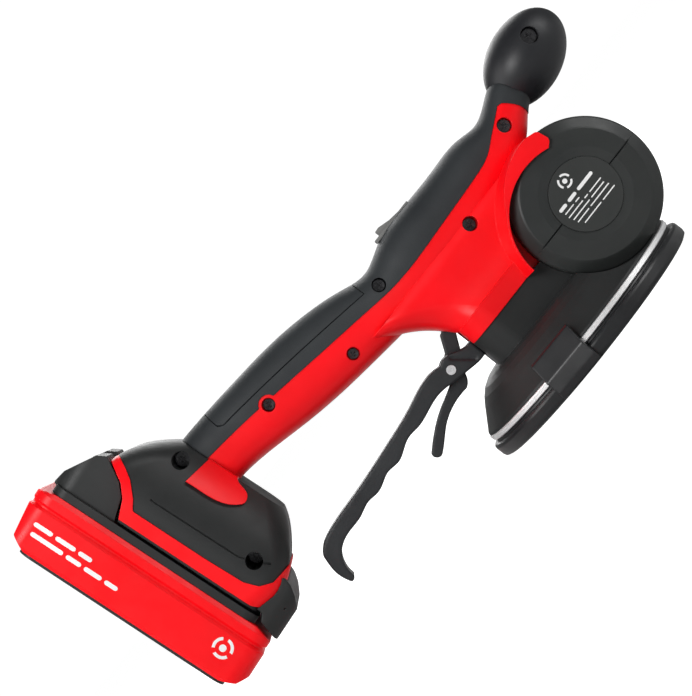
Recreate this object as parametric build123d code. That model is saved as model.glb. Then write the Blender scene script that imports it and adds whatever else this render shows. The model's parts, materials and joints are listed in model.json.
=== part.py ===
"""Cordless tile vibrator with a lever-worked suction pad.

Row frame in millimetres: +Z up, +X towards the round front knob, origin at the centre of the
pad's underside. One STEP file is written for each separate piece.
"""

from build123d import *
from math import copysign, cos, pi, radians, sin
import os

# Driving dimensions
WALL = 2.6                      # moulded shell thickness
SEAM_Z = 42.0                   # joint between the red body and the black base housing
DRUM_X, DRUM_Z = 43.8, 44.6     # axis of the vibration motor, along Y
DRUM_R, DRUM_HALF = 32.8, 36.3  # motor housing radius and half length
LIP_HALF = 38.4                 # half width over the hood's lip
POCKET_Y = 22.4                 # floor of the pocket behind that lip
NECK_X0, NECK_HALF = -32.5, 26.0    # duct between body and pad
NECK_CORNER = 14.0
PAD_R, PAD_H = 61.5, 8.6        # suction pad
CORE_R = 23.0                   # lifted middle of the pad
RING_R, RING_TOP = 59.3, 11.2   # bright clamping ring
DOME_TOP_Z, DOME_TOP_R = 27.8, 40.0
KNOB_X, KNOB_Z, KNOB_TILT = 78.0, 99.8, 10.0
KNOB_AXES = (23.0, 17.5, 16.2)  # half axes of the egg-shaped front knob
LEAN = 4.8                      # lean of the battery and foot, degrees
PACK_LOW, PACK_HIGH = 47.3, 164.3   # battery ends along its sliding direction
PACK_BASE, CASE_RIM = -205.6, -177.2    # battery underside and the red case's rim
PACK_HALF = 37.5
CELL_R, CELL_LENGTH, CELL_PITCH = 9.2, 65.0, 20.6
PIVOT_X, PIVOT_Z = 2.0, 37.0    # lever hinge
ROD_X = -14.0                   # lifting rod, 16 mm behind the hinge
LEVER_HALF = 7.5
RIVET_X, RIVET_Z = -47.2, 42.3  # trigger hinge on the lever
TRIGGER_HALF = 3.0
LEVER_SWING = 7.0               # degrees
TRIGGER_SEAT = -4.0             # degrees, where the catch holds the strut
SWITCH_X, SWITCH_Z = -13.0, 99.0
BLADE_Y = (-16, 0, 16)          # battery terminals
FIT = 0.05                      # radial running clearance
GAP = 0.4                       # clearance between moving pieces

os.makedirs("parts", exist_ok=True)


# ---------------------------------------------------------------- helpers
def write(name, shape):
    export_step(shape, f"parts/{name}.step")


def solids(shape):
    """The shape as one compound of its solids."""
    return Compound(children=list(shape.solids()))


def box(x0, x1, y0, y1, z0, z1):
    return Pos((x0 + x1) / 2, (y0 + y1) / 2, (z0 + z1) / 2) * Box(x1 - x0, y1 - y0, z1 - z0)


def rod_y(x, z, radius, y0, y1):
    """Cylinder along Y."""
    return Pos(x, (y0 + y1) / 2, z) * Rot(90, 0, 0) * Cylinder(radius, y1 - y0)


def rod_z(x, y, radius, z0, z1):
    """Cylinder along Z."""
    return Pos(x, y, (z0 + z1) / 2) * Cylinder(radius, z1 - z0)


def side_plate(outline, y0, y1):
    """Straight-sided outline in the XZ plane, given thickness from y0 to y1."""
    face = Plane.XZ * make_face(Polyline(*outline, close=True))
    return Pos(0, y1, 0) * extrude(face, y1 - y0)


def soft_plate(outline, radius, y0, y1):
    """The same with every corner of the outline rounded."""
    face = make_face(Polyline(*outline, close=True))
    face = Plane.XZ * fillet(face.vertices(), radius)
    return Pos(0, y1, 0) * extrude(face, y1 - y0)


def curved_plate(curves, y0, y1):
    """Outline made of smooth curves, each a list of points, in the XZ plane."""
    edges = [Spline(*points) if len(points) > 2 else Line(*points) for points in curves]
    face = Plane.XZ * make_face(edges)
    return Pos(0, y1, 0) * extrude(face, y1 - y0)


def turned_y(profile):
    """Profile of (radius, y) points turned about the motor axis."""
    face = make_face(Polyline(*profile, close=True))
    return Pos(DRUM_X, 0, DRUM_Z) * revolve(face, Axis.Y)


def turned_z(profile):
    """Profile of (radius, z) points turned about the pad axis."""
    return revolve(Plane.XZ * make_face(Polyline(*profile, close=True)), Axis.Z)


def leaning(shape):
    """Moves a shape from the battery's own (h, y, e) frame into the row frame."""
    return Rot(0, -LEAN, 0) * shape


def slab(h0, h1, e0, e1, half, corner):
    """Rounded slab of the battery, h0 to h1 thick."""
    plane = Plane(origin=(h0, 0, (e0 + e1) / 2), x_dir=(0, 1, 0), z_dir=(1, 0, 0))
    return extrude(plane * RectangleRounded(2 * half, e1 - e0, corner), h1 - h0)


def oval(x, bottom, top, half, power=2.6, count=16):
    """Rounded cross-section at x, between bottom and top."""
    middle, reach = (bottom + top) / 2, (top - bottom) / 2
    points = []
    for step in range(count):
        turn = 2 * pi * step / count
        across = copysign(abs(cos(turn)) ** (2 / power), cos(turn))
        up = copysign(abs(sin(turn)) ** (2 / power), sin(turn))
        points.append((x, half * across, middle + reach * up))
    return Wire([Spline(*points, periodic=True)])


# Boxes that keep the left (-Y) and the right (+Y) half
HALVES = {"left": box(-260, 140, -90, 0, -10, 200), "right": box(-260, 140, 0, 90, -10, 200)}

# ---------------------------------------------------------------- body outline
GRIP_RAISE = 0.35               # the soft grip stands this far out of the red shell
# x, underside, top, half width of the handle, from the foot to the knob
HANDLE = [
    (-156, 84, 113.6, 15.5), (-140, 84.5, 113.9, 15.5), (-125, 82.3, 113.2, 16.5),
    (-105, 77.3, 111.6, 17.5), (-85, 73.1, 109.4, 17.8), (-65, 70.2, 105.2, 17.5),
    (-50, 68.3, 100.2, 17.5), (-38, 67, 96.4, 19.0), (-24, 66, 99.8, 20.5),
    (-8, 66, 101.2, 21.0), (15, 66, 100.9, 20.5), (32, 70, 100.4, 19.0),
    (41, 73.5, 98.4, 17.0), (52, 78.5, 101.6, 14.5), (60, 84.2, 104.6, 13.0), (66, 87, 106, 12.0),
]
BAND_TOP = 50.4                 # top of the raised border along the seam
BAND_HALF = 27.0
# z, rear x, half width of the body above that border
HEAD = [(50.0, -33.2, 24.6), (56, -36.8, 22.3), (62, -41.4, 21.4), (69, -49, 21.4), (77, -61, 20.2)]
HEAD_FRONT = 44.0


def handle_solid(inset):
    """Handle, drawn in by inset; a negative inset makes it fatter."""
    stations = HANDLE[1:-1] if inset > 0 else HANDLE
    return Solid.make_loft(
        [oval(x, low + inset, high - inset, half - inset) for x, low, high, half in stations]
    )


def head_section(level, rear, half, inset):
    plane = Plane(origin=((rear + HEAD_FRONT) / 2, 0, level), x_dir=(1, 0, 0), z_dir=(0, 0, 1))
    return plane * RectangleRounded(
        HEAD_FRONT - rear - 2 * inset, 2 * (half - inset), NECK_CORNER - inset)


def head_solid(inset):
    """Body above the seam: a straight border, then a waist that swells into the handle."""
    border = extrude(head_section(SEAM_Z, NECK_X0, BAND_HALF, inset), BAND_TOP - inset - SEAM_Z)
    return border + loft([head_section(level, rear, half, inset) for level, rear, half in HEAD])


def lip_room():
    """Pocket that leaves the motor housing's rim free behind the hood's lip."""
    return rod_y(36.7, 40.0, 31.1, -45, -POCKET_Y) + rod_y(36.7, 40.0, 31.1, POCKET_Y, 45)


def hood_solid():
    """Flared collar round the rear and top of the motor housing, with a lip over its rim."""
    flare = rod_y(43.8, 36.1, 43.5, -20, 20)
    for side in (-1, 1):
        crease = Plane(origin=(43.8, side * 20, 36.1), x_dir=(1, 0, 0), z_dir=(0, side, 0))
        lip = Plane(origin=(37.5, side * LIP_HALF, 40.0), x_dir=(1, 0, 0), z_dir=(0, side, 0))
        rim = Plane(origin=(DRUM_X, side * LIP_HALF, DRUM_Z), x_dir=(1, 0, 0), z_dir=(0, side, 0))
        flare += loft([crease * Circle(43.5), lip * Circle(32.6)])
        flare += loft([crease * Circle(43.5), rim * Circle(34.0)])
    keep = side_plate([(-10, SEAM_Z), (44, SEAM_Z), (44, 60), (44, 84), (-10, 84)], -45, 45)
    keep += soft_plate([(30, 60), (48.2, 68.0), (52.4, 70.6), (51.4, 76.8), (44, 79.4), (30, 84)],
                       2.2, -45, 45)
    flare = flare & keep
    return flare - lip_room()


# Half of the motor housing's profile, (radius, y), from the label seat to the rim
DRUM_FACE = [(0, DRUM_HALF + 0.1), (15.8, DRUM_HALF), (19.8, DRUM_HALF + 0.4),
             (27.4, DRUM_HALF), (28.2, DRUM_HALF - 0.4), (DRUM_R - 0.6, DRUM_HALF - 3.0),
             (DRUM_R, DRUM_HALF - 3.8)]


def drum_solid():
    mirrored = [(radius, -y) for radius, y in reversed(DRUM_FACE)]
    return turned_y(DRUM_FACE + mirrored)


# Foot in the battery's frame: h across, e along the sliding direction
FOOT_SECTIONS = [
    # h, lower e, upper e, half width, corner radius
    (-172.2, 58.4, 146, 35.6, 9), (-164, 56.6, 146, 36.2, 9), (-156, 56.4, 145.6, 35.6, 9),
    (-149, 58.9, 143.4, 33.0, 10), (-142, 63.4, 138.4, 28.6, 11), (-136, 68.3, 131.6, 23, 11),
    (-131.6, 73.5, 125.4, 17.5, 10),
]
# The foot's slanted top edge against the battery's release hump
STEP_LINE = [(-172.2, 128.2), (-163.2, 131.7), (-158.0, 136.1), (-155.8, 139.8), (-153.5, 144.0)]


def foot_solid(inset):
    sections = []
    for h, low, high, half, corner in FOOT_SECTIONS:
        shift = -inset if h < -170 else (inset * 0.5 if h > -150 else 0)
        plane = Plane(origin=(h - shift, 0, (low + high) / 2), x_dir=(0, 1, 0), z_dir=(1, 0, 0))
        sections.append(
            plane * RectangleRounded(2 * (half - inset), high - low - 2 * inset, corner - inset)
        )
    return loft(sections)


def hump_room(offset):
    """The corner that the step line cuts off the foot, moved towards the foot by offset."""
    outline = [(-185, STEP_LINE[0][1] - offset)]
    outline += [(h + offset * 0.35, e - offset) for h, e in STEP_LINE[:2]]
    outline += [(h + offset * 0.85, e - offset * 0.6) for h, e in STEP_LINE[2:]]
    outline += [(STEP_LINE[-1][0] + offset * 0.9, 160), (-185, 160)]
    return soft_plate(outline, 1.2, -45, 45)


knob_place = Pos(KNOB_X, 0, KNOB_Z) * Rot(0, -KNOB_TILT, 0)
knob_outer = knob_place * scale(Sphere(1), KNOB_AXES)
knob_inner = knob_place * scale(Sphere(1), tuple(half - WALL for half in KNOB_AXES))
drum_space = drum_solid()
handle_outer, handle_inner = handle_solid(0), handle_solid(WALL)
head_outer, head_inner = head_solid(0), head_solid(WALL)
foot_outer = leaning(foot_solid(0) - hump_room(0))
flare_region = curved_plate(
    [[(-152.4, 101.7), (-151.5, 92), (-149.5, 83), (-147, 78.8), (-144.4, 76.8), (-141.9, 77.6),
      (-140.6, 80.5), (-139.8, 84.2), (-135, 86)], [(-135, 86), (-135, 99.2)],
     [(-135, 99.2), (-152.4, 101.7)]], -40, 40)
FLARE_RAISE = 1.1               # the red flare stands this far out of the foot
flare_lobe = leaning(foot_solid(-FLARE_RAISE)) & flare_region
grip_outer = handle_solid(-GRIP_RAISE)
body_outer = handle_outer + (head_outer - lip_room()) + hood_solid() - drum_space - knob_outer

# ---------------------------------------------------------------- screws and their bosses
# x, z, recess radius, outer y of the screw seat
BODY_SCREWS = [
    (-106.6, 94.3, 3.0), (-67.5, 79.5, 2.8), (-38.0, 88.9, 3.1), (5.9, 74.6, 3.3),
    (48.1, 88.9, 3.3),
]
FOOT_SCREWS = [(-147.4, 108.8, 3.7), (-160.4, 58.9, 3.7)]
KNOB_SCREWS = [(84.5, 104.0, 3.9)]
SEAT_Y = -9.0
SHANK_R = 1.5


def bosses(screws, radius_gain, y0, y1):
    made = None
    for x, z, radius in screws:
        post = rod_y(x, z, radius + radius_gain, y0, y1)
        made = post if made is None else made + post
    return made


def screw_rooms(screws):
    """Recess down to the seat and a pilot hole through the seam."""
    made = None
    for x, z, radius in screws:
        room = rod_y(x, z, radius, -60, SEAT_Y) + rod_y(x, z, SHANK_R, SEAT_Y, 8)
        made = room if made is None else made + room
    return made


def screw_set(screws):
    made = []
    for x, z, radius in screws:
        head = rod_y(x, z, radius - 0.5, SEAT_Y - 2.0, SEAT_Y)
        cross = box(x - 1.6, x + 1.6, SEAT_Y - 2.1, SEAT_Y - 0.9, z - 0.35, z + 0.35)
        cross += box(x - 0.35, x + 0.35, SEAT_Y - 2.1, SEAT_Y - 0.9, z - 1.6, z + 1.6)
        made.append((head - cross) + rod_y(x, z, SHANK_R, SEAT_Y, 7.5))
    return made


# ---------------------------------------------------------------- body shells and grip
# Lower edge of the soft grip, from the foot to the knob
GRIP_EDGE = [(-152.4, 101.7), (-109.2, 96.3), (-70, 89.4), (-50.3, 86), (-35.6, 83.6),
             (-1.2, 83.8), (23.3, 85), (33.2, 86.6), (40, 89.9), (47.9, 93.8), (52.8, 96.3)]
grip_region = curved_plate(
    [GRIP_EDGE, [(52.8, 96.3), (54.8, 95.6)], [(54.8, 95.6), (57.4, 92), (58.9, 89), (59.7, 84)],
     [(59.7, 84), (72, 80)], [(72, 80), (72, 125)], [(72, 125), (-152.4, 125)],
     [(-152.4, 125), (-152.4, 101.7)]], -50, 50)

# Way for the lever and for the trigger's strut through the rear of body and neck
lever_way = box(-60, -24, -LEVER_HALF - 0.7, LEVER_HALF + 0.7, 34.4, 50.5)
strut_way = box(-48, -20, -TRIGGER_HALF - 0.7, TRIGGER_HALF + 0.7, 40, 63)
switch_hole = box(SWITCH_X - 10.4, SWITCH_X + 10.4, -6.4, 6.4, 90, 110)
switch_hole += box(SWITCH_X - 10.9, SWITCH_X + 10.9, -6.9, 6.9, SWITCH_Z + 1.3, 110)

head_room = head_inner & box(-80, 44, -40, 40, SEAM_Z - 1, 90)
drum_sleeve = rod_y(DRUM_X, DRUM_Z, DRUM_R + WALL + 4, -25, 25)
handle_room = handle_inner & box(-140, 58, -40, 40, 60, 120)
body_skin = body_outer - handle_room - (head_room - drum_sleeve)
body_skin += bosses(BODY_SCREWS, 1.6, -30, 30) & body_outer
body_skin = body_skin - screw_rooms(BODY_SCREWS + FOOT_SCREWS) - lever_way
body_skin = body_skin - strut_way - switch_hole
body_skin = body_skin - rod_y(-106.6, 94.3, 4.4, -30, -5) + (
    rod_y(-106.6, 94.3, 4.4, -20, -5) & handle_outer) - screw_rooms([BODY_SCREWS[0]])
rear_cut = leaning(box(-230, -150.5, -60, 60, 20, 190))
body_skin -= rear_cut
red_skin = body_skin - grip_region
raised = (grip_outer & grip_region) - body_outer - handle_solid(0) - knob_outer - rear_cut - foot_outer
grip_skin = (body_skin & grip_region) + (raised - screw_rooms(BODY_SCREWS + FOOT_SCREWS) - switch_hole)
boss_ring = rod_y(-106.6, 94.3, 4.4, -30, -4)
INLAY_DEPTH, INLAY_GAP = 1.4, 0.35


def inlay_region(gap):
    """Side outline of the inlay on the handle's back, widened by gap."""
    rear, front = -127 - gap, -45 + gap
    return curved_plate(
        [[(rear, 125), (rear, 106 - gap)], [(rear, 106 - gap), (-125 - gap, 104.2 - gap)],
         [(-125 - gap, 104.2 - gap), (-100, 101 - gap), (-70, 96.2 - gap), (front, 91.7 - gap)],
         [(front, 91.7 - gap), (front, 125)], [(front, 125), (rear, 125)]], -50, 50)


inlay_skin = (grip_outer - handle_solid(INLAY_DEPTH)) & inlay_region(0)
inlay_seat = (grip_outer - handle_solid(INLAY_DEPTH)) & inlay_region(INLAY_GAP)

lobe = flare_lobe - handle_inner - leaning(foot_solid(WALL)) - rear_cut
grip_holder = grip_skin - inlay_seat
for side, keep in HALVES.items():
    red_half = (red_skin + lobe) & keep
    if side == "left":
        red_half += (boss_ring & handle_outer) - screw_rooms([BODY_SCREWS[0]])
        red_half -= inlay_seat
    write(f"body_shell_{side}", solids(red_half))
    grip_half = grip_holder & keep
    grip_half -= flare_region
    if side == "left":
        grip_half -= boss_ring
    write(f"grip_overmould_{side}", solids(grip_half))
write("grip_inlay", solids(inlay_skin - boss_ring))

# ---------------------------------------------------------------- foot
foot_room = leaning(foot_solid(WALL)) - leaning(hump_room(WALL + 1))
channel = leaning(box(-175, -168.4, -28, 28, 50, 150) + box(-168.6, -160.5, -31.6, 31.6, 50, 150))
battery_way = leaning(slab(-180, -172.0, 57.2, 160, 36, 2))
foot_skin = foot_outer - (foot_room & leaning(box(-168.6, -120, -60, 60, 57, 150)))
foot_skin += bosses(FOOT_SCREWS, 1.8, -34, 34) & foot_outer & leaning(
    box(-166, -120, -60, 60, 0, 190))
foot_skin = foot_skin - channel - screw_rooms(FOOT_SCREWS)
foot_skin = foot_skin - body_outer - flare_region - handle_room
band_region = leaning(
    soft_plate([(-171.2, 63), (-169.4, 57.8), (-165, 54.4), (-150, 52), (-148.6, 58.8), (-158.0, 60.6),
                (-162.4, 64.6), (-164.6, 71), (-165.2, 90), (-165.2, 125.4), (-160.9, 128.0),
                (-155.0, 133.4), (-152.0, 138.0), (-150.0, 142.4), (-150.0, 156), (-160, 156),
                (-171.2, 150)], 1.0, -60, 60))
# Shallow groove along the foot's side, at the edge of its raised panel
groove = soft_plate([(-157.6, 122), (-157.3, 79), (-155.6, 71.5), (-152.6, 65.4), (-151.8, 65.8),
                     (-154.8, 71.8), (-156.5, 79), (-156.8, 122)], 0.2, -60, 60)
foot_skin -= leaning(groove - foot_solid(0.9))
BAND_RAISE = 0.6                # the red band stands this far out of the foot
band = foot_skin & band_region
raised_band = leaning(foot_solid(-BAND_RAISE) - hump_room(0) - box(-175, -145, -30, 30, 120, 160))
band += (raised_band & band_region) - foot_outer - (
    flare_region + channel + screw_rooms(FOOT_SCREWS))
for side, keep in HALVES.items():
    write(f"foot_shell_{side}", solids((foot_skin - band_region) & keep))
    write(f"foot_band_{side}", solids(band & keep))
write("housing_screws", Compound(children=screw_set(BODY_SCREWS + FOOT_SCREWS)))
stop_block = soft_plate([(-178.0, 45.9), (-162.7, 45.8), (-158.4, 49.6), (-155.6, 53.4), (-154.2, 57),
                         (-154.2, 66), (-171.6, 66), (-171.6, 57.4), (-174.8, 56.0),
                         (-178.0, 46.9)], 0.4, -45, 45)
stop_block &= slab(-180, -150, 45.6, 80, 33, 9)
stop_block = leaning(stop_block - foot_solid(-BAND_RAISE)) - channel - battery_way
write("foot_end_stop", solids(stop_block))
write("terminal_deck", leaning(box(-160.4, -158.4, -30, 30, 79, 118)))
blades = [leaning(box(-166.5, -160.4, y - 0.6, y + 0.6, 84, 96)) for y in BLADE_Y]
write("tool_terminals", Compound(children=blades))

# ---------------------------------------------------------------- base housing
DOME_FOOT = RING_TOP + 0.2
dome_outer = turned_z([(0, DOME_FOOT), (RING_R - 0.5, DOME_FOOT), (RING_R - 0.9, 12.4), (50.4, 20.6),
                       (47.4, 23.4), (44, 25.7), (DOME_TOP_R, 27.2), (35, DOME_TOP_Z),
                       (0, DOME_TOP_Z)])
dome_inner = turned_z([(0, DOME_FOOT), (54, DOME_FOOT), (47.5, 18.0), (43, 22.2), (38.6, 24.4),
                       (34, 25), (0, 25)])


def neck_solid(inset, z0, z1):
    plane = Plane.XY.offset(z0)
    centre = (NECK_X0 + 44) / 2
    outline = Pos(centre, 0, 0) * RectangleRounded(
        44 - NECK_X0 - 2 * inset, 2 * (NECK_HALF - inset), NECK_CORNER - inset)
    return extrude(plane * outline, z1 - z0)


neck_keep = box(-40, 36, -40, 40, 0, SEAM_Z)
cradle = rod_y(DRUM_X, DRUM_Z, DRUM_R + 3.0, -NECK_HALF, NECK_HALF)
cradle_keep = side_plate(
    [(0, SEAM_Z), (0, DOME_FOOT), (50, DOME_FOOT), (44, 24), (30, SEAM_Z)], -45, 45)
base_outer = dome_outer + (neck_solid(0, 20, SEAM_Z) & neck_keep) + (
    cradle & cradle_keep & (dome_outer + box(0, 44, -30, 30, 18, SEAM_Z)))
base_room = dome_inner + (neck_solid(WALL + 0.4, 20, SEAM_Z) & neck_keep)
base_room -= rod_y(DRUM_X, DRUM_Z, DRUM_R + 2.6, -60, 60)
base_housing = base_outer - base_room - drum_space - lever_way
base_housing -= rod_y(DRUM_X, DRUM_Z, DRUM_R + FIT, -70, 70)
pin_ends = [rod_y(PIVOT_X, PIVOT_Z, 5.2, -NECK_HALF + 2, -12), rod_y(
    PIVOT_X, PIVOT_Z, 5.2, 12, NECK_HALF - 2)]
for boss in pin_ends:
    base_housing += boss - rod_y(DRUM_X, DRUM_Z, DRUM_R + 2.6, -60, 60)
base_housing -= rod_y(PIVOT_X, PIVOT_Z, 2.5, -NECK_HALF + 4, NECK_HALF - 4)
PLATE_BOLTS = [(42 * cos(radians(a)), 42 * sin(radians(a))) for a in (110, 180, 250)]
for x, y in PLATE_BOLTS:
    base_housing += rod_z(x, y, 3.4, 8.8, 24)
    base_housing -= rod_z(x, y, 1.5, 0, 15.5)
write("base_housing", solids(base_housing))

# ---------------------------------------------------------------- motor housing
drum_outer = drum_solid() - rod_y(DRUM_X, DRUM_Z, 15.7, -60, -DRUM_HALF + 1.4)
drum_outer -= rod_y(DRUM_X, DRUM_Z, 15.7, DRUM_HALF - 1.4, 60)
MOTOR_R, MOTOR_HALF, SHAFT_R = 24.0, 19.0, 2.5
# Visible joint between the two covers on each face
for side in (-1, 1):
    near, far = sorted((side * (DRUM_HALF - 0.8), side * 60))
    for x0, x1 in ((0, DRUM_X - 15.8), (DRUM_X + 15.8, 90)):
        drum_outer -= box(x0, x1, near, far, DRUM_Z - 0.3, DRUM_Z + 0.3)
drum_hollow = rod_y(DRUM_X, DRUM_Z, DRUM_R - WALL - 0.6, -31.8, -10)
drum_hollow += rod_y(DRUM_X, DRUM_Z, DRUM_R - WALL - 0.6, 10, 31.8)
drum_hollow += rod_y(DRUM_X, DRUM_Z, DRUM_R - WALL, -7.5, 7.5)
drum_hollow += rod_y(DRUM_X, DRUM_Z, MOTOR_R, -12, 12)
drum_shell = drum_outer - drum_hollow
above = box(0, 90, -50, 50, DRUM_Z, 90)
write("drum_cover_upper", solids(drum_shell & above))
write("drum_cover_lower", solids(drum_shell - above))
for side, sign in (("left", -1), ("right", 1)):
    y0, y1 = sorted((sign * (DRUM_HALF - 1.4), sign * (DRUM_HALF + 0.3)))
    write(f"drum_label_{side}", rod_y(DRUM_X, DRUM_Z, 15.6, y0, y1))
can = rod_y(DRUM_X, DRUM_Z, MOTOR_R, -MOTOR_HALF, MOTOR_HALF)
can -= rod_y(DRUM_X, DRUM_Z, MOTOR_R - 2.5, -MOTOR_HALF + 2, MOTOR_HALF - 2)
can -= rod_y(DRUM_X, DRUM_Z, 5.5, -40, 40)
write("motor_can", can)
for side, sign in (("left", -1), ("right", 1)):
    y0, y1 = sorted((sign * (MOTOR_HALF - 2), sign * (MOTOR_HALF + 1.5)))
    bearing = rod_y(DRUM_X, DRUM_Z, 5.5, y0, y1) - rod_y(DRUM_X, DRUM_Z, SHAFT_R + FIT, y0, y1)
    write(f"motor_bearing_{side}", bearing)
write("motor_shaft", rod_y(DRUM_X, DRUM_Z, SHAFT_R, -31, 31))
core = rod_y(DRUM_X, DRUM_Z, 18.0, -15, 15) - rod_y(DRUM_X, DRUM_Z, 2.5, -20, 20)
write("motor_rotor", core)
for side, sign in (("left", -1), ("right", 1)):
    y0, y1 = sorted((sign * 21.5, sign * 30.5))
    weight = rod_y(DRUM_X, DRUM_Z, 19.0, y0, y1) & box(0, 90, -50, 50, 0, DRUM_Z + 3.5)
    weight = weight - rod_y(DRUM_X, DRUM_Z, 2.5, -40, 40)
    write(f"eccentric_weight_{side}", weight)

# ---------------------------------------------------------------- front knob
knob_skin = knob_outer - knob_inner
knob_skin += bosses(KNOB_SCREWS, 1.8, -30, 30) & knob_outer
knob_skin -= screw_rooms(KNOB_SCREWS)
for side, keep in HALVES.items():
    write(f"knob_{side}", solids(knob_skin & keep))
write("knob_screw", Compound(children=screw_set(KNOB_SCREWS)))

# ---------------------------------------------------------------- suction pad
ring = turned_z([(51, PAD_H), (RING_R - 0.4, PAD_H), (RING_R, PAD_H + 0.4), (RING_R, RING_TOP - 0.4),
                 (RING_R - 0.4, RING_TOP), (54.3, RING_TOP), (54.3, PAD_H + 0.6), (51, PAD_H + 0.6)])
write("clamp_ring", ring)
plate_hole = CORE_R + 1
plate = turned_z([(plate_hole, 5.2), (48.6, 5.2), (48.6, PAD_H), (plate_hole, PAD_H)])
for x, y in PLATE_BOLTS:
    plate -= rod_z(x, y, 1.6, 0, 20) + rod_z(x, y, 3.2, 5, 7.0)
write("base_plate", plate)
pad_outer = turned_z([(33, 1.4), (36, 0), (PAD_R - 1.8, 0), (PAD_R - 0.4, 0.7), (PAD_R, 2.0),
                      (PAD_R, 5.6), (PAD_R - 0.3, 6.5), (PAD_R - 1.1, 7.1), (58.6, 7.3),
                      (58.0, PAD_H), (48.8, PAD_H), (48.8, 5.0), (33, 5.0)])
TAB_TURN = -106.6
tab_profile = [(PAD_R - 1.2, 0.8), (PAD_R + 1.9, 0.8), (PAD_R + 2.3, 4.0), (PAD_R + 1.6, 10.5),
               (57.2, 19.0), (55.4, 19.6), (54.6, 18.4), (60.2, 10.9), (PAD_R - 0.6, 7.4)]
tab = Rot(0, 0, TAB_TURN) * Pos(0, 11.5, 0) * extrude(
    Plane.XZ * make_face(Polyline(*tab_profile, close=True)), 23)
dome_shadow = dome_outer + rod_z(0, 0, RING_R + 0.2, PAD_H - 0.1, DOME_FOOT)
tab = tab - dome_shadow - rod_z(0, 0, PAD_R, 0, 7.4)
write("pull_tab", solids(tab))
write("suction_pad", pad_outer)
membrane = turned_z([(CORE_R + 0.6, 2.6), (32.4, 2.6), (32.4, 4.2), (CORE_R + 0.6, 4.2)])
write("pad_membrane", membrane)
pad_core = turned_z([(0, 0.3), (CORE_R - 3, 0.3), (CORE_R, 1.6), (CORE_R, 4.4), (0, 4.4)])
write("pad_core", pad_core)
lift_plate = turned_z([(0, 4.4), (16.6, 4.4), (16.6, 7.4), (0, 7.4)])
clevis = box(ROD_X - 4.5, ROD_X + 4.5, -9.5, 9.5, 7.4, PIVOT_Z + 5)
clevis -= box(ROD_X - 6, ROD_X + 6, -4.7, 4.7, 26.5, PIVOT_Z + 6)
clevis -= rod_y(ROD_X, PIVOT_Z, 2.0, -12, 12)
write("lift_plate", lift_plate)
write("lift_rod", clevis)
write("lift_pin", rod_y(ROD_X, PIVOT_Z, 2.0, -9.5, 9.5))
bolts = []
for x, y in PLATE_BOLTS:
    bolts.append(rod_z(x, y, 1.5, 6.9, 15.3) + rod_z(x, y, 3.0, 5.3, 6.9))
write("plate_bolts", Compound(children=bolts))

# ---------------------------------------------------------------- lever
upper = [(-143.5, 36), (-140, 39), (-135, 40.5), (-115, 42), (-90, 44), (-70, 46.5), (-57, 48.5),
         (-49, 47)]
hook = [(-49, 47), (-43, 47.4), (-38, 44.6), (-32.5, 43.5)]
lower = [(-32.5, 35.1), (-36, 35), (-41, 35.9), (-50, 38), (-58, 39.8), (-67, 39), (-75, 38.2),
         (-80, 38.7), (-84, 38), (-92, 35.6), (-98, 36.5), (-104, 35), (-108, 34.5), (-113, 35.3),
         (-120, 34), (-130, 33.7), (-137, 31), (-140.2, 27), (-141.6, 22)]
tail = [(-141.6, 22), (-142.4, 20), (-143.9, 19.6), (-145, 21.6), (-145.6, 28), (-143.5, 36)]
lever_grip = curved_plate([upper, hook, [hook[-1], lower[0]], lower, tail],
                          -LEVER_HALF, LEVER_HALF)
lever_arm = side_plate([(-32.5, 35.1), (-32.5, 43.5), (-24, 42.2), (PIVOT_X, PIVOT_Z + 5),
                        (PIVOT_X, PIVOT_Z - 5), (-20, 32.6), (-26, 34.6)], -4.0, 4.0)
lever_arm += rod_y(PIVOT_X, PIVOT_Z, 5, -11.5, 11.5)
lever_arm -= rod_y(PIVOT_X, PIVOT_Z, 2.5 + FIT, -20, 20)
slot = box(ROD_X - 0.7, ROD_X + 0.7, -5, 5, PIVOT_Z - 2.05, PIVOT_Z + 2.05)
slot += rod_y(ROD_X - 0.7, PIVOT_Z, 2.05, -5, 5) + rod_y(ROD_X + 0.7, PIVOT_Z, 2.05, -5, 5)
lever_arm -= slot
trigger_slot = box(-57, -33.5, -TRIGGER_HALF - GAP, TRIGGER_HALF + GAP, 30, 52)
lever = lever_grip + lever_arm - trigger_slot - rod_y(RIVET_X, RIVET_Z, 1.6, -20, 20)
groove_cut = side_plate([(-43.4, 46.6), (-44.3, 45.8), (-36.9, 36.2), (-36.0, 37.0)], -20, 20)
lever -= groove_cut - box(-60, -20, -LEVER_HALF + 1.0, LEVER_HALF - 1.0, 30, 50)
write("lever", solids(lever))
write("lever_pin", rod_y(PIVOT_X, PIVOT_Z, 2.5, -NECK_HALF + 4, NECK_HALF - 4))
rivet = rod_y(RIVET_X, RIVET_Z, 1.6, -LEVER_HALF, LEVER_HALF)
for y0, y1 in ((-LEVER_HALF - 0.7, -LEVER_HALF), (LEVER_HALF, LEVER_HALF + 0.7)):
    rivet += rod_y(RIVET_X, RIVET_Z, 2.1, y0, y1)
write("trigger_rivet", rivet)

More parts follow.
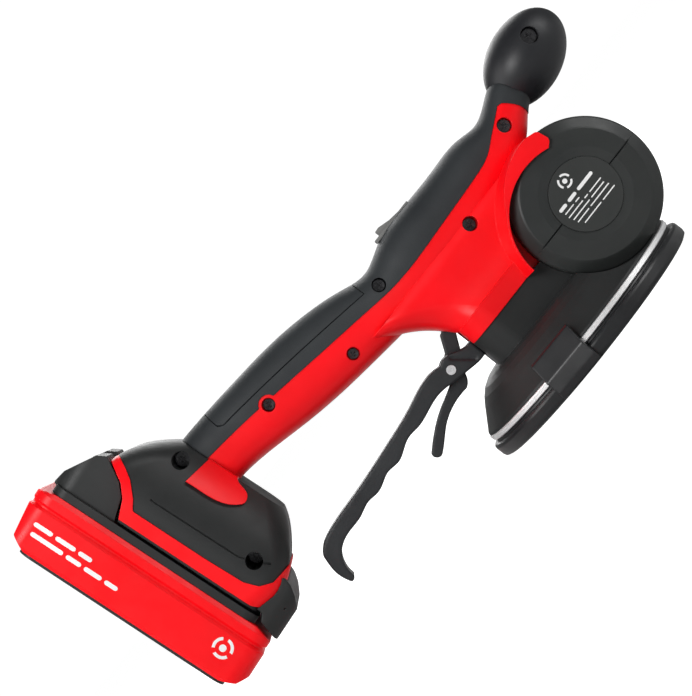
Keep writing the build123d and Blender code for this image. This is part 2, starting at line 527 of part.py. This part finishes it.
# ---------------------------------------------------------------- trigger and its catch
trigger_strut = side_plate([(-50, 39), (-44.5, 36.2), (-37.6, 44.4), (-26.2, 59.6),
                            (-31.8, 63.8), (-43.0, 48.6), (-50, 45)], -TRIGGER_HALF, TRIGGER_HALF)
trigger_tail = curved_plate(
    [[(-44.5, 36.2), (-47, 33), (-49, 32)], [(-49, 32), (-60, 31.5), (-66, 29.5), (-72, 26), (-78, 22.6)],
     [(-78, 22.6), (-79.6, 22.9), (-81.0, 25.0), (-80.6, 26.4)],
     [(-80.6, 26.4), (-72, 31.5), (-64, 35), (-55, 37.6), (-50, 39.4)],
     [(-50, 39.4), (-44.5, 36.2)]], -TRIGGER_HALF, TRIGGER_HALF)
trigger = trigger_strut + trigger_tail + rod_y(RIVET_X, RIVET_Z, 4.2, -TRIGGER_HALF, TRIGGER_HALF)
trigger -= rod_y(RIVET_X, RIVET_Z, 1.6 + FIT, -20, 20)
CATCH_X, CATCH_Z, CATCH_R = -36.2, 62.4, 1.5
catch = rod_y(CATCH_X, CATCH_Z, CATCH_R, -12, 12)


def turned_about(x, z, degrees_up):
    """Placement that turns a shape about a Y axis through (x, z)."""
    return Pos(x, 0, z) * Rot(0, degrees_up, 0) * Pos(-x, 0, -z)


notches = None
for swing in (0.0, LEVER_SWING):
    for open_by in (TRIGGER_SEAT, TRIGGER_SEAT / 2, 0.0):
        place = turned_about(PIVOT_X, PIVOT_Z, swing) * turned_about(RIVET_X, RIVET_Z, open_by)
        room = place.inverse() * rod_y(CATCH_X, CATCH_Z, CATCH_R + GAP, -12, 12)
        notches = room if notches is None else notches + room
trigger -= notches
write("trigger", solids(trigger))
write("catch_pin", catch)

# ---------------------------------------------------------------- power switch and controller
switch_body = box(SWITCH_X - 10, SWITCH_X + 10, -6, 6, 86, SWITCH_Z - 3.2)
switch_body -= box(SWITCH_X - 8.6, SWITCH_X + 8.6, -4.9, 4.9, 89, SWITCH_Z)
bezel = box(SWITCH_X - 10.8, SWITCH_X + 10.8, -6.8, 6.8, SWITCH_Z + 1.4, SWITCH_Z + 2.9)
bezel += box(SWITCH_X - 10, SWITCH_X + 10, -6, 6, SWITCH_Z - 3.2, SWITCH_Z + 1.4)
bezel -= box(SWITCH_X - 9, SWITCH_X + 9, -4.9, 4.9, SWITCH_Z - 4, SWITCH_Z + 4)
write("switch_body", switch_body)
write("switch_bezel", bezel)
rocker = side_plate([(SWITCH_X - 7.6, SWITCH_Z + 5.2), (SWITCH_X - 5.5, SWITCH_Z + 5.4),
                     (SWITCH_X, SWITCH_Z + 3.7), (SWITCH_X + 7.8, SWITCH_Z + 2.6),
                     (SWITCH_X + 7.8, SWITCH_Z + 0.2), (SWITCH_X, SWITCH_Z - 4.6),
                     (SWITCH_X - 7.6, SWITCH_Z + 0.2)], -4.6, 4.6)
rocker -= rod_y(SWITCH_X, SWITCH_Z, 1.2 + FIT, -6, 6)
write("switch_rocker", rocker)
write("switch_pin", rod_y(SWITCH_X, SWITCH_Z, 1.2, -4.9, 4.9))
write("speed_controller", box(-22, 2, -15, 15, 66.0, 67.6) + box(-16, -8, -8, 8, 67.6, 72))

# ---------------------------------------------------------------- battery
# Red case from its base to its rim: h, half width, how far its ends draw in
CASE_LEVELS = [(-204.2, 36.3, 1.2), (-202.8, PACK_HALF, 0), (-185.6, PACK_HALF, 0), (-184.4, 36.1, 1.2),
               (-183.6, 36.1, 1.2), (-182.6, 36.9, 0.6), (-179.2, 36.9, 0.6), (CASE_RIM, 35.2, 2.0)]
levels = []
for h, half, draw in CASE_LEVELS:
    plane = Plane(origin=(h, 0, (PACK_LOW + PACK_HIGH) / 2), x_dir=(0, 1, 0), z_dir=(1, 0, 0))
    levels.append(plane * RectangleRounded(2 * half, PACK_HIGH - PACK_LOW - 2 * draw, 8))
case = loft(levels, ruled=True)
case &= soft_plate(
    [(-204.3, 57.5), (-201.5, 50.5), (-196.5, PACK_LOW), (-180, 47.4), (CASE_RIM, 56), (CASE_RIM, 155),
     (-179, 163.4), (-182, PACK_HIGH), (-200.4, 161.4), (-204.3, 154)], 1.4, -45, 45)
case_room = slab(-210, -179.8, PACK_LOW + 3.4, PACK_HIGH - 3.9, PACK_HALF - 3.6, 5)
top_way = slab(-184, CASE_RIM + 1, 59, 156, 31.3, 2.5)
case = case - (case_room & side_plate(
    [(-206, 61), (-197, 51.5), (-182, 51.5), (-179, 61), (-179, 151), (-184, 159), (-198, 157),
     (-206, 151)], -45, 45)) - top_way
write("battery_case", solids(leaning(case)))
base_lid = slab(PACK_BASE, -204.2, 54.5, 156.0, PACK_HALF - 2.8, 6)
write("battery_base", solids(leaning(base_lid)))
platform = slab(-176, -168.9, 58.3, 156.7, 27.2, 3) + slab(-178.4, -173.6, 59.3, 155.7, 31.0, 3)
platform += slab(CASE_RIM, -173.6, 57.6, 158.4, 34.6, 6)
platform += slab(-168.9, -168.1, 58.3, 130, 27.2, 3)
platform += slab(-168.1, -162.5, 58.3, 129, 31.0, 3)
hump = soft_plate([(-174.2, 129.4), (-174.2, 160.2), (-167.6, 158.8), (-160.2, 154.4),
                   (-154.6, 151.0), (-152.4, 147), (-153.9, 144.6), (-156.4, 140.4),
                   (-158.6, 137.0), (-163.6, 132.7)], 0.8, -32.5, 32.5)
hump &= slab(-176, -150, 120, 160.4, 32.5, 9)
pack_top = platform + hump
for y in BLADE_Y:
    pack_top -= box(-170, -162, y - 1.4, y + 1.4, 50, 98)
pack_top -= box(-166.0, -150, -9.4, 9.4, 144.6, 158)
pack_top -= box(-168.3, -158, -5.4, 5.4, 124.4, 146)
write("battery_top", solids(leaning(pack_top)))
button = box(-163.4, -158.0, -9, 9, 145.2, 153.4) + box(-165.8, -161.5, -5, 5, 125, 145.2)
button += box(-161.5, -159.2, -5, 5, 125, 128.2)
write("battery_latch", solids(leaning(button)))
cells, holder_holes = [], None
for index in range(5):
    middle = (PACK_LOW + PACK_HIGH) / 2 + (index - 2) * CELL_PITCH
    cells.append(leaning(rod_y(-190.4, middle, CELL_R, -CELL_LENGTH / 2, CELL_LENGTH / 2)))
    hole = rod_y(-190.4, middle, CELL_R, -40, 40)
    holder_holes = hole if holder_holes is None else holder_holes + hole
for index, cell in enumerate(cells):
    write(f"battery_cell_{index + 1}", cell)
frames = [box(-200.5, -180.4, y, y + 5, 57, 153.5) - holder_holes for y in (-28, 23)]
write("cell_holder", Compound(children=[leaning(frame) for frame in frames]))
write("battery_board", leaning(box(-180.2, -178.6, -26, 26, 66, 146)))
contacts = []
for y in BLADE_Y:
    for y0, y1 in ((y - 1.3, y - 0.8), (y + 0.8, y + 1.3)):
        contacts.append(leaning(box(-169.8, -164, y0, y1, 84, 97)))
write("battery_contacts", Compound(children=contacts))
print("written", len(os.listdir("parts")))
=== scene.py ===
"""Looks of the cordless tile vibrator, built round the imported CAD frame."""

import json
import math

import bmesh
import bpy
from mathutils import Matrix, Vector


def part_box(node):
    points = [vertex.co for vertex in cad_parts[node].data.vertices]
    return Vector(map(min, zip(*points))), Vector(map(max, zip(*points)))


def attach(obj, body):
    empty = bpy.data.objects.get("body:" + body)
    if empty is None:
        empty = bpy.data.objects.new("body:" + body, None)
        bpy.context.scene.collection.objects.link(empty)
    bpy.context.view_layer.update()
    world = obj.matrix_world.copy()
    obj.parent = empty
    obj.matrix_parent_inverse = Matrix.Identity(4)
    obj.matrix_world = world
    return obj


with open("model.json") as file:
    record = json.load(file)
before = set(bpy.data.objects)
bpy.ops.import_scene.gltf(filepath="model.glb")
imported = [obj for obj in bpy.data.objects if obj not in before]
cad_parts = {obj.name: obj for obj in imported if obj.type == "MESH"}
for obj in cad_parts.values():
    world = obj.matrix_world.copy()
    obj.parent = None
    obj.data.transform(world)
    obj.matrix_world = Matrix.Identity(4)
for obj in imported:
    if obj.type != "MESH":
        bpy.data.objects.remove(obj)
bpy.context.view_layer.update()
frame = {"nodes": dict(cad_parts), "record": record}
nodes = frame["nodes"]
MM = 0.001
LEAN = math.radians(4.8)        # the foot and the battery lean back by this much
CAMERA_ROLL = math.radians(51.9)
CAMERA_DISTANCE = 0.95
CAMERA_AIM = (-0.0675, 0.0834)  # x and z of the point in the middle of the view
VIEW_WIDTH = 299.28 * MM        # longer side of what the camera takes in at the tool's middle
LIGHT_AIM = (-0.05, 0, 0.07)
FLOOR_REACH = 12.0
INK = 0.05 * MM                 # thickness of the printed marks


# ---------------------------------------------------------------- camera, floor and light
def add_camera():
    """Level view along +Y, rolled so that the tool's front points up and to the right."""
    across = Vector((math.cos(CAMERA_ROLL), 0, -math.sin(CAMERA_ROLL)))
    up = Vector((math.sin(CAMERA_ROLL), 0, math.cos(CAMERA_ROLL)))
    data = bpy.data.cameras.new("camera")
    camera = bpy.data.objects.new("camera", data)
    bpy.context.scene.collection.objects.link(camera)
    turn = Matrix((across, up, Vector((0, -1, 0)))).transposed()
    place = (CAMERA_AIM[0], -CAMERA_DISTANCE, CAMERA_AIM[1])
    camera.matrix_world = Matrix.Translation(place) @ turn.to_4x4()
    data.sensor_width = 36
    data.lens = data.sensor_width * CAMERA_DISTANCE / VIEW_WIDTH
    data.clip_start, data.clip_end = 0.05, 50
    bpy.context.scene.camera = camera


def add_floor():
    """Wide pale floor, which the camera sees as nearly white."""
    mesh = bpy.data.meshes.new("floor")
    reach = FLOOR_REACH
    mesh.from_pydata([(-reach, -reach, 0), (reach, -reach, 0), (reach, reach, 0), (-reach, reach, 0)],
                     [], [(0, 1, 2, 3)])
    floor = bpy.data.objects.new("floor", mesh)
    bpy.context.scene.collection.objects.link(floor)
    material = bpy.data.materials.new("floor")
    material.use_nodes = True
    tree = material.node_tree
    tree.nodes.clear()
    out = tree.nodes.new("ShaderNodeOutputMaterial")
    path = tree.nodes.new("ShaderNodeLightPath")
    glow = tree.nodes.new("ShaderNodeMath")
    glow.operation = "MULTIPLY_ADD"
    glow.inputs[1].default_value, glow.inputs[2].default_value = 0.86, 0.05
    matt = tree.nodes.new("ShaderNodeBsdfDiffuse")
    matt.inputs["Color"].default_value = (0.55, 0.55, 0.55, 1)
    lit = tree.nodes.new("ShaderNodeEmission")
    both = tree.nodes.new("ShaderNodeAddShader")
    tree.links.new(path.outputs["Is Camera Ray"], glow.inputs[0])
    tree.links.new(glow.outputs[0], lit.inputs["Strength"])
    tree.links.new(matt.outputs[0], both.inputs[0])
    tree.links.new(lit.outputs[0], both.inputs[1])
    tree.links.new(both.outputs[0], out.inputs[0])
    mesh.materials.append(material)


def add_area(name, place, size, power):
    """Rectangular soft light, turned to the tool."""
    data = bpy.data.lights.new(name, "AREA")
    data.shape, data.size, data.size_y = "RECTANGLE", size[0], size[1]
    data.energy = power
    light = bpy.data.objects.new(name, data)
    light.location = place
    light.rotation_euler = (Vector(LIGHT_AIM) - Vector(place)).to_track_quat("-Z", "Y").to_euler()
    bpy.context.scene.collection.objects.link(light)


def add_world():
    """White surround that the camera sees, dimmer as a source of light."""
    world = bpy.data.worlds.new("studio")
    bpy.context.scene.world = world
    world.use_nodes = True
    tree = world.node_tree
    tree.nodes.clear()
    out = tree.nodes.new("ShaderNodeOutputWorld")
    mix = tree.nodes.new("ShaderNodeMixShader")
    path = tree.nodes.new("ShaderNodeLightPath")
    shades = []
    for strength in (0.16, 1.05):
        shade = tree.nodes.new("ShaderNodeBackground")
        shade.inputs["Color"].default_value = (1, 1, 1, 1)
        shade.inputs["Strength"].default_value = strength
        shades.append(shade)
    tree.links.new(path.outputs["Is Camera Ray"], mix.inputs[0])
    tree.links.new(shades[0].outputs[0], mix.inputs[1])
    tree.links.new(shades[1].outputs[0], mix.inputs[2])
    tree.links.new(mix.outputs[0], out.inputs[0])


add_camera()
add_floor()
add_world()
add_area("key", (-0.55, -1.15, 0.75), (0.6, 0.6), 15)
add_area("left_rim", (-1.0, -0.25, 0.7), (0.3, 1.0), 7)
add_area("front_rim", (1.1, -0.45, 0.5), (0.25, 0.9), 7)
add_area("back", (0.1, 1.2, 0.8), (0.9, 0.9), 12)
bpy.context.scene.view_settings.view_transform = "Standard"


# ---------------------------------------------------------------- materials
class Nodes:
    """A material and the few kinds of node that the looks are made of."""

    def __init__(self, name):
        self.material = bpy.data.materials.new(name)
        self.material.use_nodes = True
        self.tree = self.material.node_tree
        self.shader = self.tree.nodes["Principled BSDF"]
        self.where = self.add("ShaderNodeTexCoord").outputs["Object"]

    def add(self, kind, **settings):
        node = self.tree.nodes.new(kind)
        for key, value in settings.items():
            setattr(node, key, value)
        return node

    def link(self, source, target):
        self.tree.links.new(source, target)

    def noise(self, scale, detail=2.0, rough=0.5, stretch=None):
        place = self.where
        if stretch:
            mapping = self.add("ShaderNodeMapping")
            mapping.inputs["Scale"].default_value = stretch
            self.link(self.where, mapping.inputs["Vector"])
            place = mapping.outputs[0]
        node = self.add("ShaderNodeTexNoise")
        node.inputs["Scale"].default_value = scale
        node.inputs["Detail"].default_value = detail
        node.inputs["Roughness"].default_value = rough
        self.link(place, node.inputs["Vector"])
        return node.outputs["Fac"]

    def ramp(self, source, low, high, a=0.35, b=0.65):
        node = self.add("ShaderNodeValToRGB")
        first, last = node.color_ramp.elements
        first.position, last.position = a, b
        first.color, last.color = (*low, 1), (*high, 1)
        self.link(source, node.inputs[0])
        return node.outputs[0]

    def level(self, source, low, high, a=0.35, b=0.65):
        node = self.add("ShaderNodeMapRange")
        for key, value in (("From Min", a), ("From Max", b), ("To Min", low), ("To Max", high)):
            node.inputs[key].default_value = value
        self.link(source, node.inputs["Value"])
        return node.outputs[0]

    def bump(self, sources, edge=0.0004):
        """Rounded edges first, then each (height, depth in metres) on top."""
        previous = None
        if edge:
            bevel = self.add("ShaderNodeBevel", samples=4)
            bevel.inputs["Radius"].default_value = edge
            previous = bevel.outputs[0]
        for height, depth in sources:
            node = self.add("ShaderNodeBump")
            node.inputs["Strength"].default_value = 1.0
            node.inputs["Distance"].default_value = depth
            self.link(height, node.inputs["Height"])
            if previous:
                self.link(previous, node.inputs["Normal"])
            previous = node.outputs[0]
        self.link(previous, self.shader.inputs["Normal"])


def plastic(name, dark, light, rough, grain=1 / 0.00022, depth=0.000012, edge=0.0004, specular=0.5):
    """Moulded plastic or rubber: mottled colour, fine eroded grain, uneven gloss."""
    m = Nodes(name)
    broad = m.noise(28, 3)
    fine = m.noise(grain, 2, 0.6)
    m.link(m.ramp(broad, dark, light, 0.3, 0.7), m.shader.inputs["Base Color"])
    m.link(m.level(m.noise(90, 4), rough - 0.05, rough + 0.06, 0.3, 0.7), m.shader.inputs["Roughness"])
    m.shader.inputs["Specular IOR Level"].default_value = specular
    m.bump([(fine, depth), (broad, 0.00002)], edge)
    return m.material


def metal(name, colour, rough, stretch, scale=900, edge=0.00025, depth=0.000004):
    """Metal with fine brushed lines: stretch squeezes the noise along one axis."""
    m = Nodes(name)
    lines = m.noise(scale, 3, 0.6, stretch)
    dark = tuple(c * 0.82 for c in colour)
    m.link(m.ramp(lines, dark, colour), m.shader.inputs["Base Color"])
    m.shader.inputs["Metallic"].default_value = 1.0
    m.link(m.level(lines, rough - 0.06, rough + 0.1), m.shader.inputs["Roughness"])
    m.bump([(lines, depth)], edge)
    return m.material


RED_DARK, RED_LIGHT = (0.74, 0.001, 0.004), (0.86, 0.002, 0.007)
looks = {
    "red_shell": plastic("red_shell", RED_DARK, RED_LIGHT, 0.36, 1 / 0.0004, 0.000006, specular=0.2),
    "grip_rubber": plastic("grip_rubber", (0.012, 0.014, 0.016), (0.020, 0.023, 0.025), 0.6,
                           1 / 0.0006, 0.00006, specular=0.3),
    "black_plastic": plastic("black_plastic", (0.010, 0.011, 0.011), (0.017, 0.018, 0.018), 0.48,
                             1 / 0.0005, 0.00003, specular=0.28),
    "knob_plastic": plastic("knob_plastic", (0.006, 0.006, 0.008), (0.011, 0.012, 0.014), 0.46,
                            1 / 0.0004, 0.00002, specular=0.36),
    "drum_plastic": plastic("drum_plastic", (0.016, 0.018, 0.018), (0.024, 0.026, 0.025), 0.4,
                            1 / 0.0005, 0.00003, specular=0.3),
    "label": plastic("label", (0.024, 0.026, 0.025), (0.030, 0.032, 0.031), 0.5, depth=0.000005,
                     specular=0.25),
    "pad_rubber": plastic("pad_rubber", (0.006, 0.006, 0.007), (0.012, 0.013, 0.014), 0.36,
                          1 / 0.0007, 0.00002, 0.0006, specular=0.42),
    "bright_ring": metal("bright_ring", (1.0, 1.0, 1.0), 0.5, (1, 1, 14)),
    "lever_metal": plastic("lever_metal", (0.009, 0.010, 0.012), (0.016, 0.018, 0.020), 0.42,
                           1 / 0.0007, 0.00004, 0.0012, specular=0.42),
    "steel": metal("steel", (0.86, 0.86, 0.87), 0.34, (1, 6, 1)),
    "screw_steel": metal("screw_steel", (0.10, 0.10, 0.105), 0.3, (1, 5, 1)),
    "motor_steel": metal("motor_steel", (0.55, 0.55, 0.56), 0.35, (1, 8, 1)),
    "brass": metal("brass", (0.80, 0.58, 0.28), 0.3, (1, 6, 1)),
    "cell": plastic("cell", (0.03, 0.16, 0.42), (0.04, 0.2, 0.5), 0.3),
    "board": plastic("board", (0.01, 0.09, 0.04), (0.015, 0.13, 0.06), 0.4),
    "switch_clear": plastic("switch_clear", (0.10, 0.10, 0.10), (0.26, 0.26, 0.25), 0.15, specular=0.7),
    "switch_black": plastic("switch_black", (0.010, 0.010, 0.011), (0.018, 0.018, 0.019), 0.25),
    "print_white": plastic("print_white", (0.66, 0.66, 0.66), (0.80, 0.80, 0.79), 0.5, edge=0),
}
for part in frame["record"]["subparts"]:
    mesh = nodes[part["node"]].data
    mesh.materials.clear()
    mesh.materials.append(looks[part["material_slot"]])


# ---------------------------------------------------------------- rounded castings and mouldings
def soften(node, voxel, rounds):
    """Rounds a CAD piece's edges with modifiers: an even mesh, then smoothing."""
    shape = nodes[node]
    remesh = shape.modifiers.new("even", "REMESH")
    remesh.mode, remesh.voxel_size, remesh.use_smooth_shade = "VOXEL", voxel, True
    smooth = shape.modifiers.new("round", "SMOOTH")
    smooth.factor, smooth.iterations = 0.5, rounds


soften("lever", 0.45 * MM, 6)
soften("trigger", 0.3 * MM, 5)
soften("pull_tab", 0.3 * MM, 6)
soften("foot_end_stop", 0.5 * MM, 4)


# ---------------------------------------------------------------- printed marks
def piece(name, mesh, body, look):
    """A new object that rides on a body."""
    made = bpy.data.objects.new(name, mesh)
    bpy.context.scene.collection.objects.link(made)
    mesh.materials.append(look)
    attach(made, body)
    return made


def bar(middle, along, up, length, height):
    """Outline of a printed dash with rounded ends."""
    points = []
    for side in (1, -1):
        for step in range(5):
            turn = math.pi * (step / 4 - 0.5)
            reach = side * (length - height) / 2 + side * height / 2 * math.cos(turn)
            points.append(middle + along * reach + up * (side * height / 2 * math.sin(turn)))
    return [points]


def ring_mark(middle, along, up, radius):
    """Plain generic mark: three equal arcs round a dot, each a closed outline."""
    outlines = []
    for arc in range(3):
        start = 2 * math.pi * arc / 3
        turns = [start + math.radians(88) * step / 8 for step in range(9)]
        outer = [(math.cos(t) * radius, math.sin(t) * radius) for t in turns]
        inner = [(math.cos(t) * radius * 0.72, math.sin(t) * radius * 0.72) for t in reversed(turns)]
        outlines.append([middle + along * x + up * y for x, y in outer + inner])
    dot = [2 * math.pi * step / 20 for step in range(20)]
    outlines.append([middle + (along * math.cos(t) + up * math.sin(t)) * radius * 0.34 for t in dot])
    return outlines


def print_mesh(name, outlines, lift):
    """Thin raised ink: each flat outline, pushed out along lift."""
    build = bmesh.new()
    for outline in outlines:
        low = [build.verts.new(point) for point in outline]
        high = [build.verts.new(point + lift) for point in outline]
        build.faces.new(high)
        build.faces.new(list(reversed(low)))
        for index, corner in enumerate(low):
            after = (index + 1) % len(low)
            build.faces.new((corner, low[after], high[after], high[index]))
    bmesh.ops.recalc_face_normals(build, faces=build.faces)
    mesh = bpy.data.meshes.new(name)
    build.to_mesh(mesh)
    build.free()
    return mesh


def dashes(start, along, up, height, lengths, gap):
    """A row of dashes, one after the other."""
    made, reach = [], 0.0
    for length in lengths:
        made += bar(start + along * (reach + length / 2), along, up, length, height)
        reach += length + gap
    return made


def add_drum_print():
    """Generic mark and broken lines on the left face of the motor drum."""
    low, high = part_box("drum_label_left")
    centre = Vector(((low[0] + high[0]) / 2, low[1], (low[2] + high[2]) / 2))
    along, up = Vector((1, 0, 0)), Vector((0, 0, 1))
    rows = ring_mark(centre + up * 10.2 * MM - along * 1.2 * MM, along, up, 3.2 * MM)
    rows += dashes(centre + (along * -12.6 + up * 3.8) * MM, along, up, 1.5 * MM,
                   [length * MM for length in (4.4, 5.0, 9.6)], 1.2 * MM)
    for level, start, lengths in ((1.4, -12.0, (5.6, 2.6)), (-0.6, -12.2, (9.4, 2.2, 7.6)),
                                  (-2.6, -11.6, (10.8, 8.4)), (-4.6, -11.2, (7.4, 12.2)),
                                  (-7.0, -9.6, (11.0, 7.8))):
        rows += dashes(centre + (along * start + up * level) * MM, along, up, 0.5 * MM,
                       [length * MM for length in lengths], 1.1 * MM)
    mesh = print_mesh("drum_print", rows, Vector((0, -INK, 0)))
    piece("drum_print", mesh, "housing", looks["print_white"])


def add_battery_print():
    """Two broken lines and a generic mark on the left side of the battery."""
    low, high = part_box("battery_case")
    slide = Vector((-math.sin(LEAN), 0, math.cos(LEAN)))
    across = Vector((math.cos(LEAN), 0, math.sin(LEAN)))
    centre = Vector(((low[0] + high[0]) / 2, low[1], (low[2] + high[2]) / 2))
    along = -slide
    rows = []
    for level, start, lengths in ((-0.9, 51.0, (9.2, 9.8, 6.6)), (-5.0, 50.0, (16.0, 7.4, 8.6, 6.4))):
        rows += dashes(centre + (across * level + slide * start) * MM, along, across, 1.9 * MM,
                       [length * MM for length in lengths], 1.5 * MM)
    rows += ring_mark(centre + (across * -1.2 - slide * 42.5) * MM, along, across, 4.6 * MM)
    mesh = print_mesh("battery_print", rows, Vector((0, -INK, 0)))
    piece("battery_print", mesh, "battery", looks["print_white"])


add_drum_print()
add_battery_print()
